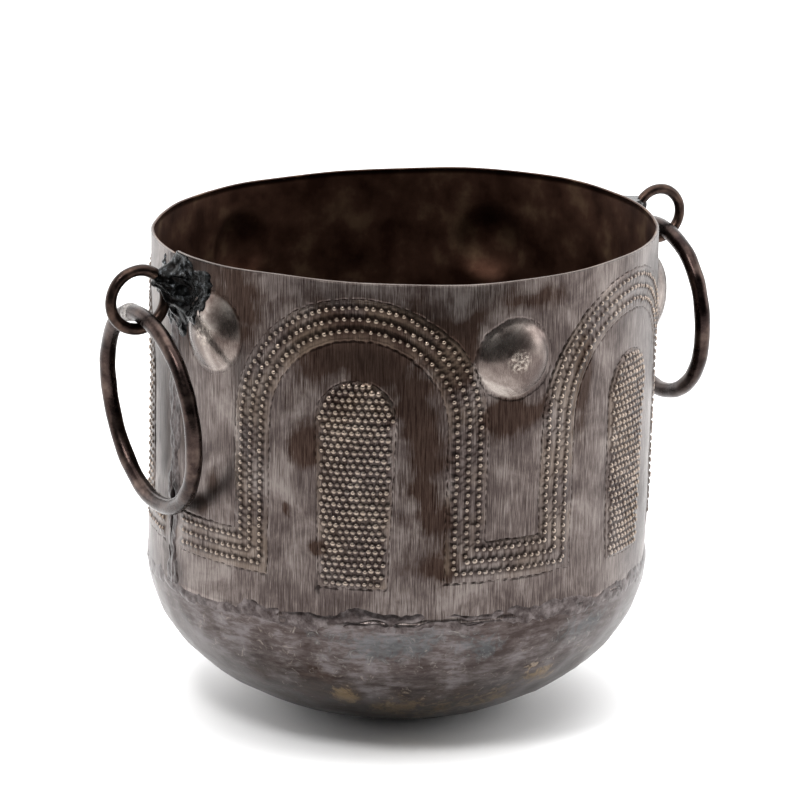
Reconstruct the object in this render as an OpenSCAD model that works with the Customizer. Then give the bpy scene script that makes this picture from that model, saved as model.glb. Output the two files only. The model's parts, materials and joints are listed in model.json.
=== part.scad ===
// Round sheet-metal bowl: a rolled wall welded to a dished base, with two loose ring handles.
// +Z is up. The origin is the centre of the flat face that the bowl stands on.
// The left handle is on -X, over the seam of the rolled wall, and the right handle is on +X.

/* [Bowl] */
// Outside diameter at the rim
rim_d = 200; // [170:1:220]
// Outside diameter where the wall meets the base
seam_d = 198.6; // [168:0.2:219]
// Height of the rolled wall, from the base seam to the rim
wall_h = 134; // [120:1:160]
// Depth of the dished base
dish_h = 60.4; // [45:0.2:75]
// Diameter of the flat that the bowl stands on
foot_d = 60; // [40:1:80]
// Thickness of the sheet
sheet_t = 1.2; // [0.8:0.1:2]

/* [Bosses] */
// Width of a domed boss
boss_d = 30; // [24:1:34]
// How far a boss stands out from the wall
boss_h = 4.5; // [3:0.5:6]

/* [Welds] */
// Width of the gap that the side weld fills
side_gap = 3; // [2:0.5:4]
// Width of the weld strip over that gap
side_strip_w = 12; // [8:1:16]
// How far the strip stands out from the wall
side_strip_h = 0.5; // [0.3:0.1:0.8]
// Radius of the bead round the base seam
base_bead_r = 1.1; // [0.8:0.1:1.4]

/* [Left handle] */
// Outside diameter of the left ring
left_ring_d = 84; // [78:1:88]
// Outside diameter of the left eye
left_eye_d = 27.7; // [26:0.1:30]
// Rod diameter of the left eye
left_eye_rod = 4.6; // [4:0.1:5]
// Depth of the left eye's centre below the rim
left_eye_drop = 18; // [16:1:24]
// Gap between the left eye and the wall, filled with braze
left_eye_gap = 1.9; // [1.5:0.1:3.5]
// Angle at which the left ring leans in towards the wall
left_ring_lean = 6.5; // [-4:0.5:7]

/* [Right handle] */
// Outside diameter of the right ring
right_ring_d = 75; // [70:1:84]
// Outside diameter of the right eye
right_eye_d = 24.6; // [24:0.1:28]
// Rod diameter of the right eye
right_eye_rod = 4.1; // [3.6:0.1:4.6]
// Depth of the right eye's centre below the rim
right_eye_drop = 8; // [7:1:20]
// Gap between the right eye and the wall, filled with braze
right_eye_gap = 3.4; // [1.5:0.1:3.5]
// Angle at which the right ring leans in towards the wall, negative for outwards
right_ring_lean = -2.5; // [-4:0.5:7]

/* [Both handles] */
// Rod diameter of the rings
ring_rod = 6.4; // [5.6:0.1:6.6]
// Gap between a ring and its eye
ring_gap = 0.3; // [0.2:0.1:0.5]

/* [Hidden] */
$fn = 96;
// Finer steps for the wall, because thin welds are cut to fit it
fine_fn = 360;
steel = "#4a423f";
steel_dark = "#2e2928";
braze = "#1d1b1b";
rod_brown = "#3d322e";

// Bosses: angle round the bowl from +X, and depth of the centre below the rim
bosses = [[195, 27], [267, 31], [337, 29], [41, 30], [105, 28]];

rim_r = rim_d / 2;
seam_r = seam_d / 2;
foot_r = foot_d / 2;
rim_z = dish_h + wall_h;
boss_sphere_r = (pow(boss_d / 2, 2) + pow(boss_h, 2)) / (2 * boss_h);
// How deep the braze and the weld strip bite into the sheet
weld_sink = 0.3;
strip_sink = 0.1;
// Bare sheet between the top of the weld strip and the rim
strip_end_gap = 1;
// Distance of the base bead's centre outside the sheet
bead_out = 0.2;
// Steps in the outline of the dish
dish_steps = 18;
// Closing weld of a ring: its arc and how far it stands out from the rod
ring_weld_arc = 8;
ring_weld_h = 0.6;
// Places of the closing welds round the rings, from the top towards +Y
left_weld_at = 12;
right_weld_at = 14;
// Braze round an eye: radius of its lumps, their spacing, and how far the outer ones sit in the wall
lump_r = 5;
lump_step = 6;
lump_sink = 2;

// Outside radius of the wall at height z
function wall_r(z) = seam_r + (rim_r - seam_r) * (z - dish_h) / wall_h;
// Distance of an eye's centre from the bowl's axis
function eye_x(eye_d, gap) = rim_r + gap + eye_d / 2;
// Height of a ring's rod below the centre of its eye
function rod_drop(eye_d, eye_rod) = eye_d / 2 - eye_rod - ring_rod / 2 - ring_gap;

// Quarter outline of the dish: an ellipse of semi-axes a and c, cut off at height floor_z
function dish_curve(a, c, floor_z) = let(end = asin((dish_h - floor_z) / c))
    [for (i = [0:dish_steps]) let(t = end * i / dish_steps) [a * cos(t), dish_h - c * sin(t)]];

// The full wall as a solid cone, grown outwards by grow
module wall_cone(grow) {
    translate([0, 0, dish_h])
        cylinder(h = wall_h, r1 = seam_r + grow, r2 = rim_r + grow, $fn = fine_fn);
}

// One sphere behind each boss
module boss_spheres(r) {
    for (b = bosses) {
        z = rim_z - b[1];
        rotate([0, 0, b[0]])
            translate([wall_r(z) + boss_h - boss_sphere_r, 0, z]) sphere(r = r);
    }
}

// A block on the -X side of the wall, w wide
module side_block(w, z_low, z_high) {
    translate([-rim_r - 10, -w / 2, z_low]) cube([20, w, z_high - z_low]);
}

module wall_sheet() {
    color(steel) difference() {
        union() {
            wall_cone(0);
            boss_spheres(boss_sphere_r);
        }
        translate([0, 0, dish_h - 1])
            cylinder(h = wall_h + 2, r1 = wall_r(dish_h - 1) - sheet_t, r2 = wall_r(rim_z + 1) - sheet_t,
                $fn = fine_fn);
        boss_spheres(boss_sphere_r - sheet_t);
        side_block(side_gap, dish_h - 1, rim_z + 1);
    }
}

module base_dish() {
    depth = dish_h / sqrt(1 - pow(foot_r / seam_r, 2));
    outer = dish_curve(seam_r, depth, 0);
    inner = dish_curve(seam_r - sheet_t, depth - sheet_t, sheet_t);
    inner_back = [for (i = [dish_steps:-1:0]) inner[i]];
    color(steel) rotate_extrude() polygon(concat(outer, [[0, 0], [0, sheet_t]], inner_back));
}

module base_seam_weld() {
    color(steel_dark) rotate_extrude() translate([seam_r + bead_out, dish_h]) circle(r = base_bead_r);
}

module side_seam_weld() {
    weld_low = dish_h + base_bead_r;
    weld_high = rim_z - strip_end_gap;
    color(steel_dark) difference() {
        union() {
            intersection() {
                wall_cone(side_strip_h);
                side_block(side_gap, dish_h, weld_high);
            }
            difference() {
                intersection() {
                    wall_cone(side_strip_h);
                    side_block(side_strip_w, weld_low, weld_high);
                }
                wall_cone(-strip_sink);
            }
        }
        wall_cone(-sheet_t);
    }
}

// A rod bent round into an eye that stands in the XZ plane
module eye(side, eye_d, eye_rod, drop, gap) {
    translate([side * eye_x(eye_d, gap), 0, rim_z - drop]) rotate([90, 0, 0])
        rotate_extrude() translate([(eye_d - eye_rod) / 2, 0]) circle(d = eye_rod);
}

// Lumps of braze that hold an eye to the wall
module eye_weld(side, drop) {
    centre_z = rim_z - drop;
    difference() {
        translate([side * rim_r, 0, centre_z]) {
            sphere(r = lump_r);
            for (y = [-1, 1]) {
                translate([-side * lump_sink, y * lump_step, lump_step / 3]) sphere(r = lump_r);
                translate([-side * lump_sink, y * lump_step / 2, -lump_step]) sphere(r = lump_r);
            }
        }
        wall_cone(-weld_sink);
    }
}

// Places a ring's own frame: its centre, turned to hang from its eye
module hang(side, ring_d, eye_d, eye_rod, drop, gap, lean) {
    ring_r = (ring_d - ring_rod) / 2;
    translate([side * eye_x(eye_d, gap), 0, rim_z - drop - rod_drop(eye_d, eye_rod)])
        rotate([0, side * lean, 0]) translate([0, 0, -ring_r]) rotate([0, -90, 0]) children();
}

// Part of a ring: an arc of rod that starts at angle from and covers arc degrees
module rod_arc(ring_d, rod_d, from, arc) {
    rotate([0, 0, from]) rotate_extrude(angle = arc)
        translate([(ring_d - ring_rod) / 2, 0]) circle(d = rod_d);
}

module left_hang() {
    hang(-1, left_ring_d, left_eye_d, left_eye_rod, left_eye_drop, left_eye_gap, left_ring_lean)
        children();
}

module right_hang() {
    hang(1, right_ring_d, right_eye_d, right_eye_rod, right_eye_drop, right_eye_gap, right_ring_lean)
        children();
}

module left_eye() {
    color(rod_brown) eye(-1, left_eye_d, left_eye_rod, left_eye_drop, left_eye_gap);
}

module right_eye() {
    color(rod_brown) eye(1, right_eye_d, right_eye_rod, right_eye_drop, right_eye_gap);
}

module left_eye_weld() {
    color(braze) eye_weld(-1, left_eye_drop);
}

module right_eye_weld() {
    color(braze) eye_weld(1, right_eye_drop);
}

module left_ring() {
    weld_end = left_weld_at + ring_weld_arc / 2;
    color(rod_brown) left_hang() rod_arc(left_ring_d, ring_rod, weld_end, 360 - ring_weld_arc);
}

module right_ring() {
    weld_end = right_weld_at + ring_weld_arc / 2;
    color(rod_brown) right_hang() rod_arc(right_ring_d, ring_rod, weld_end, 360 - ring_weld_arc);
}

module left_ring_weld() {
    weld_start = left_weld_at - ring_weld_arc / 2;
    color(steel_dark) left_hang()
        rod_arc(left_ring_d, ring_rod + 2 * ring_weld_h, weld_start, ring_weld_arc);
}

module right_ring_weld() {
    weld_start = right_weld_at - ring_weld_arc / 2;
    color(steel_dark) right_hang()
        rod_arc(right_ring_d, ring_rod + 2 * ring_weld_h, weld_start, ring_weld_arc);
}

wall_sheet();
base_dish();
base_seam_weld();
side_seam_weld();
left_eye();
right_eye();
left_eye_weld();
right_eye_weld();
left_ring();
right_ring();
left_ring_weld();
right_ring_weld();
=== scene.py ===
import json
import math

import bpy
import numpy as np
from mathutils import Matrix, Vector, noise
from mathutils.geometry import delaunay_2d_cdt

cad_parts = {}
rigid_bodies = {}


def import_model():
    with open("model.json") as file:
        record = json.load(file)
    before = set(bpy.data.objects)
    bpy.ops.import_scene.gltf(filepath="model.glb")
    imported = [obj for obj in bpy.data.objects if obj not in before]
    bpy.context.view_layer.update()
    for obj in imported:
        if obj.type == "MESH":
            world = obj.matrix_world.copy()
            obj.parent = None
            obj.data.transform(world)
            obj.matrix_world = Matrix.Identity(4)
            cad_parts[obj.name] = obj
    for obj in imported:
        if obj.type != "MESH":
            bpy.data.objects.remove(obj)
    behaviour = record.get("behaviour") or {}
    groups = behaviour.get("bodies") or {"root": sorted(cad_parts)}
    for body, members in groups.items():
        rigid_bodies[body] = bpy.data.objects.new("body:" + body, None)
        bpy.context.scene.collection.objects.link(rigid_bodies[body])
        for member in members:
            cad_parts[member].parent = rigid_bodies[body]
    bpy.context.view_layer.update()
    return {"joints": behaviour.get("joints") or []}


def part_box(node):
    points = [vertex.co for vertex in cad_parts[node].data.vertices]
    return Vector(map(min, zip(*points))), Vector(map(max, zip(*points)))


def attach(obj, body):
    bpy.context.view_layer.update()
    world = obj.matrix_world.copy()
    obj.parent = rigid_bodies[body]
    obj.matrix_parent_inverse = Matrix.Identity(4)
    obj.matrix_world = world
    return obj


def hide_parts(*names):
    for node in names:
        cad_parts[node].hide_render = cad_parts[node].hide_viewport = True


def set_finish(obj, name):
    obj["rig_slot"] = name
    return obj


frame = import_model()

# -------- sizes, in millimetres
MM = 0.001
RIM_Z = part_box("wall_sheet")[1].z / MM
SEAM_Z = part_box("wall_sheet")[0].z / MM
WALL_H = RIM_Z - SEAM_Z
RIM_R = 100.0
SEAM_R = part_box("base_dish")[1].x / MM
FOOT_R = 30.0
DISH_DEPTH = SEAM_Z / math.sqrt(1 - (FOOT_R / SEAM_R) ** 2)
SHEET = 1.2
GIRTH = 2 * math.pi * RIM_R
HALF_GAP = 1.5

# Decoration of the wall: angles round the bowl from +X, which run from 180 at the side seam up to 540 where
# the sheet's other end comes round to it, and depths below the rim
SEAM_ANGLE = 180
ARCH_ANGLES = (232, 304, 368.5, 432.5, 497)
BOSSES = ((195, 27), (267, 31), (337, 29), (401, 30), (465, 28))
BAND_TOP = 6.5
BAND_BOTTOM = 118
BAND_W = 15.8
ARCH_IN = 35.4
DOT_ROWS = (3.7, 8.3, 12.8)
DOT_STEP = 3.0
DOT_R = 1.1
DOT_H = 0.72
BAND_RISE = 0.25
SEAM_MARGIN = 8
TONGUE_TOP = 38
TONGUE_BOTTOM = 120
TONGUE_W_TOP = 31.6
TONGUE_W_BOTTOM = 27
TONGUE_STEP = 2.55
TONGUE_ROW = 2.6
TONGUE_RISE = 0.5
BOSS_R = 15
BOSS_H = 4.5
BOSS_CUT_GAP = 1.2
STROKE = 3.4
CUT_STEP = 0.85
CUT_HALF_W = 0.4
CUT_DEPTH = 0.5
CUT_SIDE = 0.95
BURR = 0.08
GROUND_LINES = (6.0, 10.5)
# Spacing of the plain net of points: on the outer face, and on the inner one
OUTER_NET = 2.5
INNER_NET = 2.3
# Dark marks, most left by the charcoal fire, and a long dark strip beside the side seam (534): angle, depth
# below the rim, half width and half height
SCORCHES = (
    (238, 27, 36, 19), (247, 54, 8, 30), (248, 87, 8, 13), (249, 111, 9, 6), (220, 65, 5, 10),
    (224, 105, 4, 2.5), (216.5, 91, 2, 3), (196, 87, 4, 5), (191, 97, 5, 4), (257, 24, 8, 17),
    (264, 53, 14, 6), (270, 8, 13, 5), (200, 12, 16, 14), (188, 10, 10, 14), (188, 32, 6, 7),
    (534, 62, 5, 62), (183, 52, 3, 30), (285, 40, 5, 20), (312, 100, 8, 9), (340, 60, 14, 16),
    (368, 30, 22, 16), (384, 88, 10, 13), (410, 64, 10, 8), (433, 24, 24, 15), (452, 92, 8, 18),
    (497, 40, 12, 24),
)
# Stains on the dish, as angle, depth below the seam, half width and half height
GOLD_STAINS = (
    (243, 42, 12, 6), (255, 44, 14, 6), (268, 39, 10, 5), (280, 30, 8, 4), (229, 35, 7, 4),
    (60, 42, 12, 5), (150, 30, 8, 4),
)
BURNT_STAINS = (
    (222, 38, 30, 14), (252, 47, 44, 15), (300, 47, 22, 8), (30, 42, 30, 10), (110, 36, 26, 12),
    (170, 46, 20, 8),
)
BLUE_STAINS = (
    (240, 9, 20, 7), (262, 10, 12, 6), (290, 12, 10, 5), (350, 10, 16, 6), (80, 12, 14, 6),
    (140, 8, 18, 5),
)
# Pits in the base seam: angle round the bowl, and place across the seam from -1 at its foot to 1 at its top
SEAM_PITS = (
    (216, -0.25), (241, -0.35), (263, -0.28), (288, -0.1), (330, -0.2), (22, -0.3), (75, -0.2),
    (131, -0.3),
)
# The foot of the hand-made bowl stands a little off the middle of its rim
LEAN = 2.8
LEAN_ANGLE = 152


# -------- small tools
def ripple(points, seed, wavelength, waves=26):
    """Smooth unevenness of about unit height: a sum of waves in random directions."""
    rng = np.random.default_rng(seed)
    total = np.zeros(len(points))
    for _ in range(waves):
        direction = rng.normal(size=3)
        direction /= np.linalg.norm(direction)
        length = wavelength * rng.uniform(0.6, 1.5)
        total += np.sin(points @ direction * 2 * math.pi / length + rng.uniform(0, 2 * math.pi))
    return total / math.sqrt(waves)


def body_bend(points):
    """The slow unevenness of the whole bowl, which the wall, the dish and the seam between them share."""
    return 0.35 * ripple(points, 5, 160)


def lumps(points, size, seed):
    """Rounded lumps about one size across: 1 at a lump's middle, down to about 0 between lumps."""
    shift = Vector((seed * 7.3, seed * 3.1, seed * 5.7))
    near = np.array([noise.voronoi(Vector(p) / size + shift)[0][0] for p in points])
    return np.clip(1 - near ** 2 * 1.6, 0, 1)


def hammer_blows(points, size, seed):
    """Shallow dishes left by a round-faced hammer: 0 in a dish's middle, 1 on the ridges between."""
    shift = Vector((seed * 2.3, seed * 4.1, seed * 6.7))
    near = np.array([noise.voronoi(Vector(p) / size + shift)[0][0] for p in points])
    return np.clip(near, 0, 1) ** 2


def smooth_step(low, high, x):
    """Rises smoothly from 0 at low to 1 at high; the other way round if low is the larger."""
    t = np.clip((x - low) / (high - low), 0, 1)
    return t * t * (3 - 2 * t)


def make_piece(name, points, faces, body, slot, node, marks):
    """A smooth-shaded mesh from points in mm, which rides on a body and stands for its CAD node."""
    points = np.array(points, float)
    if body == "root":
        share = LEAN * np.clip((RIM_Z - points[:, 2]) / WALL_H, 0, 1)
        points[:, 0] += share * math.cos(math.radians(LEAN_ANGLE))
        points[:, 1] += share * math.sin(math.radians(LEAN_ANGLE))
    mesh = bpy.data.meshes.new(name)
    mesh.from_pydata((points * MM).tolist(), [], faces)
    for key, values in marks.items():
        mark = mesh.attributes.new(key, "FLOAT", "POINT")
        mark.data.foreach_set("value", np.asarray(values, np.float32))
    mesh.validate()
    mesh.polygons.foreach_set("use_smooth", [True] * len(mesh.polygons))
    mesh.update()
    piece = bpy.data.objects.new(name, mesh)
    bpy.context.scene.collection.objects.link(piece)
    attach(piece, body)
    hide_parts(node)
    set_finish(piece, slot)


def grid_faces(rows, cols, start=0, wrap=False, flip=False):
    """Quads over a grid of points stored row by row; wrap joins the last column to the first."""
    faces = []
    for r in range(rows - 1):
        this_row = start + r * cols
        next_row = this_row + cols
        for c in range(cols if wrap else cols - 1):
            d = (c + 1) % cols
            quad = [this_row + c, this_row + d, next_row + d, next_row + c]
            faces.append(quad[::-1] if flip else quad)
    return faces


def bridge(loop_a, loop_b, closed=True, flip=False):
    """Quads between two loops of point numbers of equal length."""
    n = len(loop_a)
    faces = []
    for i in range(n if closed else n - 1):
        j = (i + 1) % n
        quad = [loop_a[i], loop_a[j], loop_b[j], loop_b[i]]
        faces.append(quad[::-1] if flip else quad)
    return faces


# -------- the sheet, laid out flat
# A place on the sheet is (a, h): a runs round the bowl from the side seam, h runs down from the rim.
def along(angle):
    """How far round the sheet an angle is."""
    return np.radians(angle - SEAM_ANGLE) * RIM_R


def sheet_to_space(a, h, out):
    """Points in space for places on the sheet, moved outwards by out."""
    angle = math.radians(SEAM_ANGLE) + a / RIM_R
    r = RIM_R + (SEAM_R - RIM_R) * h / WALL_H + out
    return np.stack([r * np.cos(angle), r * np.sin(angle), RIM_Z - h], -1)


def walk(path, step):
    """Places at equal steps along a line of points, with the direction of travel at each."""
    path = np.asarray(path, float)
    legs = np.hypot(*np.diff(path, axis=0).T)
    run = np.concatenate([[0], np.cumsum(legs)])
    count = max(2, int(round(run[-1] / step)))
    at = (np.arange(count) + 0.5) * run[-1] / count
    i = np.clip(np.searchsorted(run, at, side="right") - 1, 0, len(legs) - 1)
    t = ((at - run[i]) / legs[i])[:, None]
    places = path[i] * (1 - t) + path[i + 1] * t
    heading = (path[i + 1] - path[i]) / legs[i][:, None]
    return places, heading


def band_path(from_inner):
    """The line that runs under the arches and over each of them, at a distance from the band's inner
    edge."""
    half = ARCH_IN + from_inner
    low = BAND_BOTTOM - from_inner
    shoulder = BAND_TOP + ARCH_IN + BAND_W
    path = [(SEAM_MARGIN, low)]
    for angle in ARCH_ANGLES:
        c = along(angle)
        path.append((c - half, low))
        for step in range(33):
            turn = math.pi * step / 32
            path.append((c - half * math.cos(turn), shoulder - half * math.sin(turn)))
        path.append((c + half, low))
    path.append((GIRTH - SEAM_MARGIN, low))
    return path


def tongue_half_width(h):
    """A tongue has a round top and sides that draw in a little towards its foot."""
    top_r = TONGUE_W_TOP / 2
    straight = TONGUE_TOP + top_r
    taper = (h - straight) / (TONGUE_BOTTOM - straight)
    low = top_r + (TONGUE_W_BOTTOM / 2 - top_r) * np.clip(taper, 0, 1)
    cap = np.sqrt(np.clip(top_r ** 2 - np.clip(straight - h, 0, top_r) ** 2, 0, None))
    return np.where(h < straight, cap, low)


def tongue_outline(angle):
    """The cut round a tongue, from the foot of its left side over the top and back along its foot."""
    c = along(angle)
    depths = TONGUE_TOP + TONGUE_W_TOP / 2 * (1 - np.cos(np.linspace(0, math.pi / 2, 12)))
    depths = np.append(depths, TONGUE_BOTTOM)
    right = [(c + tongue_half_width(h), h) for h in depths]
    left = [(c - tongue_half_width(h), h) for h in depths[::-1]]
    return left + right[1:] + [left[0]]


def boss_circle(angle, drop):
    """The light cut that runs close round a boss."""
    c = along(angle)
    r = BOSS_R + BOSS_CUT_GAP
    turns = np.linspace(0, 2 * math.pi, 37)
    return [(c + r * math.cos(t), drop + r * math.sin(t)) for t in turns]


def stained(a, h, flat, stains):
    """How deep in a stain each place is: 1 in its middle, 0 at its edge and below 0 away from them all."""
    a = a + 4 * ripple(flat, 62, 40)
    depth = np.full(len(a), -1.0)
    for angle, drop, half_w, half_h in stains:
        reach = np.hypot((a - along(angle)) / (half_w * 1.25), (h - drop) / (half_h * 1.25))
        depth = np.maximum(depth, 1 - reach)
    return depth + 0.2 * ripple(flat, 61, 17) + 0.13 * ripple(flat, 63, 6)


def in_band(a, h):
    """1 inside the dotted band and the tongues, 0 on the plain sheet."""
    shoulder = BAND_TOP + ARCH_IN + BAND_W
    inside = np.zeros(len(a))
    reach = np.full(len(a), 1e3)
    for angle in ARCH_ANGLES:
        dx = np.abs(a - along(angle))
        arch = np.where(h < shoulder, np.hypot(dx, h - shoulder), dx) - ARCH_IN
        reach = np.minimum(reach, arch)
        tongue = tongue_half_width(h) - dx
        inside = np.maximum(inside, smooth_step(-0.4, 0.8, tongue) * (h > TONGUE_TOP) * (h < TONGUE_BOTTOM))
    legs = (reach >= 0) & (reach <= BAND_W) & (h < BAND_BOTTOM)
    foot = (reach > BAND_W) & (h > BAND_BOTTOM - BAND_W) & (h < BAND_BOTTOM)
    return np.maximum(inside, (legs | foot).astype(float))


# -------- the wall sheet
def wall_form(a, h):
    """How far the sheet stands from a true cone: hand unevenness, bosses, and the rise of the tongues."""
    flat = sheet_to_space(a, h, 0 * a)
    out = 0.22 * ripple(flat, 3, 55) + 0.07 * ripple(flat, 4, 17) + body_bend(flat)
    for angle, drop in BOSSES:
        r = np.hypot(a - along(angle), h - drop)
        dome = BOSS_H * (1 - (r / BOSS_R) ** 2.7)
        from_scuff = np.hypot(a - along(angle) + 1, h - drop - 1.5)
        scuff = 0.2 * ripple(flat, 8, 2.4) * smooth_step(4.8, 3.4, from_scuff)
        out = out + np.clip(dome, 0, None) + scuff
    for angle in ARCH_ANGLES:
        side = tongue_half_width(h) - np.abs(a - along(angle))
        ends = smooth_step(TONGUE_TOP - 0.5, TONGUE_TOP + 3, h)
        ends = ends * smooth_step(TONGUE_BOTTOM + 0.5, TONGUE_BOTTOM - 2, h)
        out = out + TONGUE_RISE * smooth_step(-0.3, 3.5, side) * ends
    return out


def rim_lift(a):
    """The rim was cut by hand, so its height wanders a little, and one end of the sheet stands higher at
    the seam."""
    turn = a / RIM_R
    wave = (0.8 * np.sin(turn - 1.44) + 0.7 * np.sin(2 * turn + 0.68)
            + 0.43 * np.sin(4 * turn - 0.77) + 0.12 * np.sin(13 * turn))
    step = 0.9 * np.exp(-a / 9) - 0.6 * np.exp(-(GIRTH - a) / 9)
    return wave + step


def wall_points(a, h, relief):
    """Points of the finished wall, with the worked relief on its form and its rim cut uneven."""
    points = sheet_to_space(a, h, wall_form(a, h) + relief)
    points[:, 2] += rim_lift(a) * np.clip(1 - h / 30, 0, 1)
    return points


def dot_places(rng):
    """The middle, radius and height of every raised dot."""
    rows = []
    for from_inner in DOT_ROWS:
        places, _ = walk(band_path(from_inner), DOT_STEP)
        rows.append(places)
    band_dots = sum(len(row) for row in rows)
    for angle in ARCH_ANGLES:
        c = along(angle)
        count = int((TONGUE_BOTTOM - TONGUE_TOP - 2) / TONGUE_ROW)
        for row in range(count + 1):
            h = TONGUE_BOTTOM - 1.9 - row * TONGUE_ROW
            room = float(tongue_half_width(np.array(h))) - 1.65
            shift = 0.5 * (row % 2)
            across = [(k + shift) * TONGUE_STEP for k in range(-7, 8)]
            rows.append(np.array([(c + x, h) for x in across if abs(x) <= room]).reshape(-1, 2))
    places = np.concatenate(rows)
    places += rng.normal(0, 0.16, places.shape)
    size = rng.normal(1, 0.09, len(places)).clip(0.7, 1.25)
    size[:band_dots] *= 0.92
    return places, DOT_R * size, DOT_H * rng.normal(1, 0.14, len(places)).clip(0.6, 1.3)


def cut_places(rng):
    """Points along every chiselled line, each with its direction and its share of the full depth. A line
    is made of short strokes that don't quite meet in line."""
    lines = [band_path(0), band_path(BAND_W)]
    lines += [tongue_outline(angle) for angle in ARCH_ANGLES]
    light_cuts = [boss_circle(angle, drop) for angle, drop in BOSSES]
    middles, headings, depths = [], [], []
    for line in lines + light_cuts:
        places, heading = walk(line, CUT_STEP)
        stroke, part = np.divmod((np.arange(len(places)) + 0.5) * CUT_STEP / STROKE, 1)
        stroke = stroke.astype(int)
        offset = rng.normal(0, 0.13, stroke.max() + 1)[stroke]
        twist = rng.normal(0, 0.3, stroke.max() + 1)[stroke]
        force = rng.normal(1, 0.15, stroke.max() + 1).clip(0.6, 1.4)[stroke]
        across = np.stack([-heading[:, 1], heading[:, 0]], -1)
        middles.append(places + across * (offset + twist * (part - 0.5))[:, None])
        headings.append(heading)
        force = force * (0.6 if line in light_cuts else 1)
        depths.append(force * smooth_step(0, 0.3, np.minimum(part, 1 - part)))
    return np.concatenate(middles), np.concatenate(headings), np.concatenate(depths)


def wall_sheet():
    """One rolled sheet: raised dots, chisel strokes and domed bosses are all in its one surface."""
    rng = np.random.default_rng(11)
    bevel = 0.35
    cols = int(GIRTH / INNER_NET)
    rows = int(WALL_H / INNER_NET)
    a_line = np.linspace(HALF_GAP, GIRTH - HALF_GAP, cols + 1)
    h_line = np.linspace(bevel, WALL_H, rows + 1)

    # The edge of the sheet, walked once round: along the rim, down one end, back along the foot and up
    edge = [(a, h_line[0]) for a in a_line]
    edge += [(a_line[-1], h) for h in h_line[1:]]
    edge += [(a, h_line[-1]) for a in a_line[-2::-1]]
    edge += [(a_line[0], h) for h in h_line[-2:0:-1]]
    parts = [np.array(edge)]
    relief = [np.zeros(len(edge))]

    # A dot is its middle, a ring of points on its shoulder and a ring at its foot
    centres, radii, heights = dot_places(rng)
    parts.append(centres)
    relief.append(heights)
    for reach, count, share in ((0.62, 6, 0.74), (1.0, 8, -0.06)):
        for k in range(count):
            turn = 2 * math.pi * (k + (0.5 if count == 8 else 0)) / count
            parts.append(centres + radii[:, None] * reach * np.array([math.cos(turn), math.sin(turn)]))
            relief.append(heights * share)
    ring_start = len(edge) + 7 * len(centres)
    ring_end = len(edge) + 15 * len(centres)

    # A cut is a line of points along its bottom, a burr thrown up on one side and clean metal on the other
    middles, headings, depths = cut_places(rng)
    across = np.stack([-headings[:, 1], headings[:, 0]], -1)
    for sideways, height in ((0, -CUT_DEPTH * depths), (1, BURR * depths), (-1, 0 * depths)):
        parts.append(middles + across * CUT_HALF_W * sideways)
        relief.append(height)
    cut_start = ring_end
    cut_end = cut_start + len(middles)
    # Flat ground close beside each line keeps the groove crisp
    for sideways in (-CUT_SIDE, CUT_SIDE):
        parts.append((middles + across * sideways)[::2])
        relief.append(0 * depths[::2])

    # Plain ground between the rows of dots, and a line under the rim that keeps the rounded edge narrow
    ground = [walk(band_path(from_inner), DOT_STEP)[0] for from_inner in GROUND_LINES]
    ground.append(np.stack([a_line[1:-1], np.full(cols - 1, bevel + 0.45)], -1))
    parts += ground
    relief += [np.zeros(len(line)) for line in ground]

    # A finer net over the bosses and a plain net everywhere else, left out within 1 mm of what is drawn:
    # taken is a map of the sheet in half millimetres
    taken = np.zeros((int(GIRTH * 2) + 2, int(WALL_H * 2) + 2), bool)
    cell = np.clip(np.round(np.concatenate(parts) * 2).astype(int), 0, np.array(taken.shape) - 1)
    for da in range(-2, 3):
        for dh in range(-2, 3):
            ia = np.clip(cell[:, 0] + da, 0, taken.shape[0] - 1)
            ih = np.clip(cell[:, 1] + dh, 0, taken.shape[1] - 1)
            taken[ia, ih] = True
    net_a, net_h = np.arange(2.6, GIRTH - 2.6, OUTER_NET), np.arange(1.8, WALL_H - 1.5, OUTER_NET)
    net = np.stack(np.meshgrid(net_a, net_h), -1).reshape(-1, 2)
    net += rng.uniform(-0.25, 0.25, net.shape)
    for angle, drop in BOSSES:
        c = np.array([along(angle), drop])
        net = net[np.hypot(*(net - c).T) > BOSS_R + 0.3]
        rings = [c + r * np.array([math.cos(t), math.sin(t)])
                 for r in np.linspace(1.2, BOSS_R, 12)
                 for t in np.linspace(0, 2 * math.pi, max(6, int(r * 4)), endpoint=False)]
        net = np.concatenate([net, np.array(rings)])
    cell = np.clip(np.round(net * 2).astype(int), 0, np.array(taken.shape) - 1)
    net = net[~taken[cell[:, 0], cell[:, 1]]]
    parts.append(net)
    relief.append(np.zeros(len(net)))

    places = np.concatenate(parts)
    relief = np.concatenate(relief)
    flat = [Vector((a, -h)) for a, h in places]
    drawn = delaunay_2d_cdt(flat, [], [], 0, 1e-4)
    number = [origin[0] for origin in drawn[3]]
    outer_faces = [[number[i] for i in face] for face in drawn[2]]

    a, h = places[:, 0], places[:, 1]
    band = in_band(a, h)
    # crease: how dark the dots' feet and the cuts are painted, with soot and painted shade
    crease = np.zeros(len(a))
    crease[ring_start:ring_end] = 0.85
    crease[cut_start:cut_end] = depths
    crease[cut_end:cut_end + 2 * len(depths)] = 0.25 * np.tile(depths, 2)
    dome = np.zeros(len(a))
    for angle, drop in BOSSES:
        dome = np.maximum(dome, 1 - np.hypot(a - along(angle), h - drop) / (BOSS_R + 0.4))
    outer = wall_points(a, h, relief + BAND_RISE * band)
    n_outer = len(outer)

    # The inner face: the same form one sheet thickness in, on a plain net whose edge matches the outer one
    grid_h, grid_a = np.meshgrid(h_line, a_line, indexing="ij")
    inner = wall_points(grid_a.ravel(), grid_h.ravel(), np.full(grid_a.size, -SHEET))
    inner_faces = grid_faces(rows + 1, cols + 1, start=n_outer)

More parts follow.
